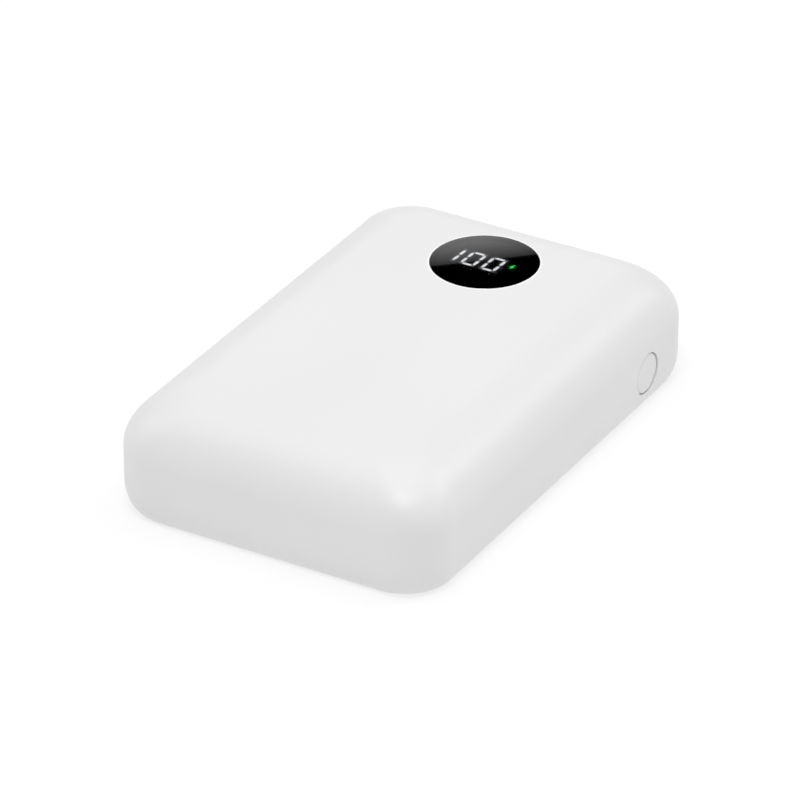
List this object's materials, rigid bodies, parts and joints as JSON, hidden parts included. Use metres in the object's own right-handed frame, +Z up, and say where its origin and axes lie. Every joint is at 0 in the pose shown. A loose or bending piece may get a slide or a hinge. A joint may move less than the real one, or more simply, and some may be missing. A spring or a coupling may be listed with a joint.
{
  "type": "power bank",
  "caption": "Pocket power bank with a deep rounded case, charging ports in one end, a round digital charge display on top and a sprung round side button.",
  "frame": {"origin": "bottom centre of the case, on the surface it rests on", "axes": "+X towards the button side, +Y towards the ports and the display end, +Z up out of the display"},
  "size_m": [0.064, 0.0968, 0.0222],
  "materials": {
    "white_shell": "satin",
    "white_cover": "satin",
    "white_button": "satin",
    "black_lens": "polished",
    "adhesive": "matte",
    "lit_digits": "lit",
    "unlit_digits": "satin",
    "lit_bolt": "lit",
    "black_module": "matte",
    "tinned_pin": "tinned",
    "green_board": "satin",
    "zinc_screw": "zinc plated",
    "black_chip": "matte",
    "ceramic_part": "matte",
    "aluminium_can": "satin",
    "ferrite": "matte",
    "copper": "enamelled",
    "black_plastic": "satin",
    "steel": "bright",
    "switch_plastic": "satin",
    "port_plastic": "satin",
    "gold_contact": "gold plated",
    "cell_pouch": "satin",
    "aluminium_tab": "satin",
    "nickel_tab": "satin",
    "tape": "satin",
    "foam": "foam",
    "fish_paper": "matte",
    "red_insulation": "satin",
    "black_insulation": "satin"
  },
  "bodies": {
    "case": {"black_wire": "black_insulation", "board_screws": "zinc_screw", "bottom_cover": "white_cover", "cell_tape": "tape", "ceramic_capacitors": "ceramic_part", "controller_chip": "black_chip", "cover_tape": "tape", "display_bolt": "lit_bolt", "display_case": "black_module", "display_digits_dark": "unlit_digits", "display_digits_lit": "lit_digits", "display_lens": "black_lens", "display_pins": "tinned_pin", "display_riser": "black_module", "foam_pad": "foam", "inductor_coil": "copper", "inductor_core": "ferrite", "insulator_sheet": "fish_paper", "left_usb_a_contacts": "gold_contact", "left_usb_a_shell": "steel", "left_usb_a_tongue": "port_plastic", "lens_adhesive": "adhesive", "lower_cell": "cell_pouch", "main_board": "green_board", "mosfets": "black_chip", "negative_tabs": "nickel_tab", "port_chip": "black_chip", "positive_tabs": "aluminium_tab", "red_wire": "red_insulation", "resistors": "black_chip", "right_usb_a_contacts": "gold_contact", "right_usb_a_shell": "steel", "right_usb_a_tongue": "port_plastic", "round_capacitors": "aluminium_can", "switch_body": "black_plastic", "switch_dome": "steel", "switch_frame": "steel", "switch_terminals": "tinned_pin", "top_shell": "white_shell", "upper_cell": "cell_pouch", "usb_c_contacts": "gold_contact", "usb_c_shell": "steel", "usb_c_tongue": "black_plastic"},
    "button": {"button_cap": "white_button"},
    "plunger": {"switch_plunger": "switch_plastic"}
  },
  "joints": [
    {"name": "button_press", "type": "slide", "parent": "case", "child": "button", "axis": [-1, 0, 0], "range_m": [0, 0.0003], "stiffness_N_per_m": 7000},
    {"name": "switch_plunger_press", "type": "slide", "parent": "case", "child": "plunger", "axis": [-1, 0, 0], "range_m": [0, 0.0003], "deforming": ["switch_dome"]}
  ],
  "couplings": [
    {"joint": "switch_plunger_press", "follows": "button_press", "ratio": 1}
  ]
}
